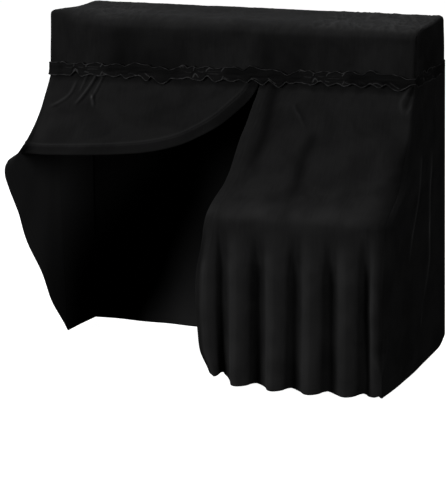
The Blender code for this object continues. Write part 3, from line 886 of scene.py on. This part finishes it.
def cap_strip():
    t = np.concatenate([i + steps(n)[:-1] for i, n in enumerate(CAP_ROWS)] + [[5.0]])[::-1]
    edge = WALL_X - CAP_EDGE_RADIUS * np.array(CAP_EDGE_COLUMNS)
    columns = np.unique(np.concatenate((mix(-WALL_X, WALL_X, steps(CAP_COLUMNS)), -edge, edge)))
    x, t = np.meshgrid(columns, t)
    depth, height = cap_section(x, t)
    to_end = WALL_X - np.abs(x)
    from_end, sinks = round_off(to_end, CAP_EDGE_RADIUS)
    proud = CAP_EDGE_PROUD * np.clip(1 - to_end / CAP_EDGE_RADIUS, 0, 1)
    points = cap_to_frame(np.sign(x) * (WALL_X + proud - from_end), depth, height)
    gone = lengths(points, 0)
    on_drop = from_to(t, 1.15, 0.80)
    on_top = from_to(t, 1.3, 1.7) * from_to(t, 4.0, 3.5)
    relief = on_drop * (creases(x, height, CAP_FRONT_HOLLOWS) + 0.0012 * drift(x, height, 0.09, 11))
    wrinkled, fine = cap_wrinkles(x, depth)
    relief += on_top * (WRINKLE * wrinkled * fine + 0.0010 * drift(x, gone, 0.06, 22))
    relief += (1 - on_drop - on_top) * 0.0008 * drift(x, gone, 0.035, 31)
    stitches = bell((to_end - CAP_STITCH_AT) / CAP_STITCH_WIDTH) * (1 + drift(gone, x, 0.03, 41)) / 2
    relief -= sinks + 0.0010 * stitches
    # painted shade in broad zones on the front drop, and a painted highlight over the top and its fine
    # wrinkles, strongest towards the right
    high, low = (by_first(CAP_FRONT_SHADE, x * 1000, column) / 100 for column in (1, 2))
    front_shade = mix(low, high, from_to(height, 1.15, 1.29)) + 0.10 * drift(x, height / 2, 0.03, 12)
    painted_light = on_top * np.minimum(wrinkled * (0.26 + 0.75 * fine), 1) - on_drop * front_shade
    return cloth_piece("cap_strip", "cap_velvet", points, relief, painted_light)


def cap_end(node, side):
    """An end piece, filled in between its four edges. Its seam with the strip runs round three of them."""
    a, d = steps(70), steps(46)
    a, d = mix(a, ease(a), 0.4), mix(d, np.sin(d * math.pi / 2), 0.4)
    split_front, split_back = 1.5, 3.5  # the middle of the two round corners
    x = side * HALF_WIDTH
    inset = CAP_EDGE_RADIUS * (1 - math.sin(math.pi / 4))
    shrink = 1 - inset / (MIDDLE_DEPTH - FRONT)

    def section(t):
        depth, height = cap_section(x, t)
        depth = MIDDLE_DEPTH + (depth - MIDDLE_DEPTH) * shrink
        return np.stack((depth, height - inset * from_to(height, 1.2, 1.3)), -1)

    top = section(mix(split_front, split_back, a))
    front = section(mix(split_front, 0.0, d))
    rear = section(mix(split_back, 5.0, d))
    foot = mix(front[-1], rear[-1], a[:, None])
    across, down = a[None, :, None], d[:, None, None]
    corners = mix(mix(top[0], top[-1], across), mix(foot[0], foot[-1], across), down)
    grid = mix(front[:, None], rear[:, None], across) + mix(top[None], foot[None], down) - corners
    if side < 0:  # seen from outside, its front is then at the right
        grid = grid[:, ::-1]
    depth, height = grid[..., 0], grid[..., 1]
    points = cap_to_frame(x, depth, height)
    away = distance_to(points, np.concatenate((points[:, 0], points[0], points[:, -1])))
    left = np.clip(CAP_EDGE_RADIUS * math.sin(math.pi / 4) - away, 0, None)
    relief = np.sqrt(CAP_EDGE_RADIUS**2 - left**2) - CAP_EDGE_RADIUS
    relief -= END_PIECE_SINKS * from_to(away, 0.01, 0.16)
    relief += 0.0012 * drift(depth, height, 0.07, 51 + side)
    relief += 0.0007 * veins(depth, height, 0.06, 61 + side) * ease(away / 0.03)
    return cloth_piece(node, "cap_velvet", points, relief)


def band_edges(x, gone):
    """Its upper and its lower edge, from the seam."""
    around = np.clip((np.abs(gone) - HALF_WIDTH) / 0.03, 0, 1)
    upper_at_ends = UPPER_AT_ENDS + UNEVEN_AT_ENDS * drift(gone, gone, 0.030, 71)
    lower_at_ends = LOWER_AT_ENDS - UNEVEN_AT_ENDS * drift(gone, gone, 0.034, 72)
    upper = mix(by_first(UPPER_EDGE, x * 1000) / 1000, upper_at_ends, around)
    lower = mix(by_first(LOWER_EDGE, x * 1000) / 1000, lower_at_ends, around)
    upper += EDGE_FRAYS * drift(gone, gone, 0.011, 73)
    lower += EDGE_FRAYS * drift(gone, gone, 0.012, 74)
    return upper, lower


def band_folds(gone, level):
    """The relief of its small folds."""
    return creases(gone, level, [
        (tuple((across + 1000 * repeat, up) for across, up in points), *sizes)
        for repeat in FOLD_REPEATS
        for points, *sizes in BAND_FOLDS
    ])


def ruched_band():
    x, depth, out_x, out_depth, gone = band_path()
    rows = steps(BAND_ROWS)
    down = mix(rows, ease(rows), 0.5)[:, None]
    upper, lower = band_edges(x, gone)
    level = mix(upper, lower, down)
    from_edge = np.minimum(down, 1 - down) * (upper - lower)
    lean_by = LEAN + LEAN_MORE_AT_LEFT * np.clip(-x / HALF_WIDTH, 0, 1)
    lean = lean_by * np.maximum(0.0, -level - LEAN_START)
    g, v = np.broadcast_arrays(gone[None], level)
    within = g - FIRST_REPEAT
    within -= REPEAT_LENGTH * np.floor((within + 0.03) / REPEAT_LENGTH)
    busy = from_to(within, BUSY_START, BUSY_START + 0.03) * from_to(within, BUSY_END, BUSY_END - 0.03)
    busy = np.maximum(busy, from_to(g, -0.712, -0.732))
    lies = drift(g, v * 6.0, 0.050, 77)
    small = drift(g + 0.5 * v, v * 3.0, 0.014, 76)
    middle = from_to(from_edge, RIM_WIDTH, RIM_WIDTH + 0.010)
    edge = from_to(from_edge, 0.007, 0.0) * (0.75 + 0.45 * drift(g, v, 0.018, 79))
    rim = hump((from_edge - RIM_WIDTH / 2) / (RIM_WIDTH * 0.8))
    folds = band_folds(g, v)
    stands = CHANNEL_STANDS + (MIDDLE_STANDS - CHANNEL_STANDS) * middle
    stands += middle * mix(0.0014 * lies, 0.0011 * small, busy)
    stands += (EDGE_STANDS - CHANNEL_STANDS) * edge
    stands += RIM_HEIGHT * rim * (0.8 + 0.4 * drift(g, v, 0.022, 78)) + folds
    stands = BAND_GAP + CLOTH + np.maximum(stands, 0.0003)
    # closer round the ends, where the skirt doesn't lean
    stands = mix(stands, 0.0006 + 0.25 * stands, from_to(np.abs(gone), HALF_WIDTH - 0.04, HALF_WIDTH))
    height = seam_height(x, depth) + level
    points = to_frame(x + out_x * stands, depth + out_depth * (stands + lean), height)
    # painted highlights on the rolled rims and the small folds' ridges, and painted shade over the band
    # between its rims, less where the gathers lie close
    pale = np.maximum(rim * (0.62 + 0.50 * drift(g, g, 0.016, 80)), np.minimum(folds / 0.0018, 1.3))
    painted_light = pale - (0.75 + 0.35 * lies) * (1 - rim) * (1 - 0.6 * busy)
    return cloth_piece("ruched_band", "band_velvet", points, np.zeros(g.shape), painted_light)


def front_left_panel():
    rows = np.arange(len(LEFT_LEAF))
    at = np.interp(np.arange(sum(LEFT_LEAF_COLUMNS) + 1), np.cumsum([0] + LEFT_LEAF_COLUMNS), rows)
    along, down = np.meshgrid(at / at[-1], steps(LEFT_LEAF_ROWS))
    x, depth, height = front_left(along, down)
    points = to_frame(x, depth, height)
    away = distance_to(points, points[-1])
    lines = creases(x, height, LEFT_LEAF_CREASES)
    broad = creases(x, height, (NEAR_SLIT_FOLD,))
    relief = hem(away, HEM_WIDTH) + lines + broad
    relief += 0.0016 * drift(x, height, 0.11, 81) * ease(down / 0.15)
    relief *= away_from_seams(along, down, at_start=0.012)
    # painted light: highlights along the creases and the hem's ridge; painted shade in the trough of the
    # fold by the slit, below the hem's ridge, under the band and, a little, over the whole leaf
    painted_light = np.maximum(lines / 0.0038, 0) + np.minimum(broad, 0) / 0.012 + hem_painted_light(away)
    painted_light -= 0.10 + shadow_under_band(x, height)
    return cloth_piece("front_left_panel", "skirt_velvet", points, relief, painted_light)


def front_right_panel():
    along, down = np.meshgrid(steps(FOLD_COLUMNS * FOLDS), steps(RIGHT_LEAF_ROWS))
    at = along * FOLDS
    x, depth, height = front_right(along, down)
    points = to_frame(x, depth, height)
    away = distance_to(points, np.concatenate((points[:, 0], points[-1])))
    lines = creases(x, height, RIGHT_LEAF_CREASES)
    shelf = hump((height - SHELF_HEIGHT) / SHELF_HALF)
    relief = 0.4 * hem(away, PLAIN_HEM) + lines
    relief += 0.0018 * drift(x, height, 0.12, 91) * ease(down / 0.10)
    relief += shelf * (0.0010 * veins(x, height, 0.035, 92) + 0.0016 * drift(x, height, 0.05, 93))
    relief *= away_from_seams(along, down, at_end=0.012)
    # painted light: highlights along the creases, in two lobes on the shelf over the key bed, along the
    # folds' crests, above the key bed and just below the shelf; painted shade in the hollows, under the
    # band and at the right front corner
    lobes = 0.75 + 0.45 * drift(x, height, 0.045, 94) - 0.8 * bell((x - LOBES_PART_AT) / 0.03)
    share = at % 1.0
    crest = from_to(share, 0.06, 0.34) * from_to(share, 0.80, 0.40) * from_to(height, 0.65, 0.45)
    crest *= (0.8 + 0.3 * drift(x, height, 0.05, 95)) * (1 + 0.35 * from_to(at, 4.9, 5.9))
    painted_light = lines / 0.0050 + SHELF_HIGHLIGHT * shelf * lobes + CREST_HIGHLIGHT * crest
    painted_light += 0.06 * from_to(height, 0.75, 0.95) + 0.12 * hump((height - 0.585) / 0.09)
    painted_light -= shadow_under_band(x, height) + from_to(x, 0.668, 0.758) * shade_at_corner(height)
    return cloth_piece("front_right_panel", "skirt_velvet", points, relief, painted_light)


def side_right_panel():
    # the columns lie closer together at the round front corner
    columns = mix(steps(RIGHT_END_COLUMNS), steps(RIGHT_END_COLUMNS) ** 2, 0.6)
    along, down = np.meshgrid(columns, steps(RIGHT_END_ROWS))
    x, depth, height = side_right(along, down)
    points = to_frame(x, depth, height)
    lines = creases(depth, height, RIGHT_END_CREASES)
    relief = hem(distance_to(points, points[-1]), PLAIN_HEM) + lines
    relief += 0.0016 * drift(depth, height, 0.13, 101)
    relief *= away_from_seams(along, down, 0.02, 0.02)
    # painted highlights along the creases, strongest at mid height, and painted shade by the front corner
    # above the key bed
    painted_light = lines.clip(0) / 0.0019 * (1 + 0.35 * hump((height - 0.55) / 0.07))
    painted_light -= 0.7 * from_to(depth - depth[:, :1], 0.065, 0.0) * shade_at_corner(height)
    return cloth_piece("side_right_panel", "skirt_velvet", points, relief, painted_light)


def plain_panel(node, surface, columns, rows, seam_share, uneven, lumps, seed):
    """A panel that has nothing but its hem and a soft unevenness."""
    along, down = np.meshgrid(steps(columns), steps(rows))
    x, depth, height = surface(along, down)
    points = to_frame(x, depth, height)
    across = x if np.ptp(x) > np.ptp(depth) else depth
    relief = hem(distance_to(points, points[-1]), PLAIN_HEM) + uneven * drift(across, height, lumps, seed)
    relief *= away_from_seams(along, down, seam_share, seam_share)
    return cloth_piece(node, "skirt_velvet", points, relief)


cap = cap_strip()
cap_left = cap_end("cap_end_left", -1)
cap_right = cap_end("cap_end_right", 1)
band = ruched_band()
leaf_left = front_left_panel()
leaf_right = front_right_panel()
right_end = side_right_panel()
left_end = plain_panel("side_left_panel", side_left, 50, 130, 0.04, 0.0020, 0.13, 111)
rear = plain_panel("back_panel", back, 180, 110, 0.02, 0.0022, 0.14, 121)

# ---- Floor, light and camera


def floor(far=40.0):
    mesh = bpy.data.meshes.new("studio_floor")
    corners = [(-far, -far, FLOOR), (far, -far, FLOOR), (far, far, FLOOR), (-far, far, FLOOR)]
    mesh.from_pydata(corners, [], [(0, 1, 2, 3)])
    obj = add("studio_floor", mesh)
    material, tree, shader = new_material(
        "floor_white", Roughness=0.9, Specular_IOR_Level=0.0,
        Emission_Color=(1.0, 1.0, 1.0, 1.0), Emission_Strength=1.0,
    )
    place = node_of(tree, "ShaderNodeTexCoord", {}, "Object")
    shade = ramp(tree, noise(tree, place, 0.4, 2.0), ((0.0, grey(0.88)), (1.0, grey(0.92))))
    tree.links.new(shade, shader.inputs["Base Color"])
    mesh.materials.append(material)
    # the floor doesn't light the cloth from below, as its white would
    obj.visible_diffuse = False
    obj.visible_glossy = False


def lamp(name, at, watts):
    data = bpy.data.lights.new(name, "AREA")
    data.shape = "DISK"
    data.size = LAMP_SIZE
    data.energy = watts
    obj = add(name, data)
    obj.location = at
    obj.rotation_euler = (Vector(LAMPS_AIM_AT) - Vector(at)).to_track_quat("-Z", "Y").to_euler()


def world():
    made = bpy.data.worlds.new("studio")
    made.use_nodes = True
    sky = made.node_tree.nodes["Background"]
    sky.inputs["Color"].default_value = (1, 1, 1, 1)
    sky.inputs["Strength"].default_value = 1.0
    bpy.context.scene.world = made
    made.cycles_visibility.diffuse = False
    made.cycles_visibility.glossy = False


def camera():
    data = bpy.data.cameras.new("camera")
    data.sensor_width = 36.0
    data.lens = CAMERA_LENS
    data.clip_end = 200.0
    obj = add("camera", data)
    obj.location = CAMERA_AT
    obj.rotation_euler = (math.pi / 2 - CAMERA_PITCH, 0.0, CAMERA_TURN)
    bpy.context.scene.camera = obj


floor()
world()
for name, at, watts in LAMPS:
    lamp(name, at, watts)
camera()
bpy.context.scene.view_settings.view_transform = "Standard"
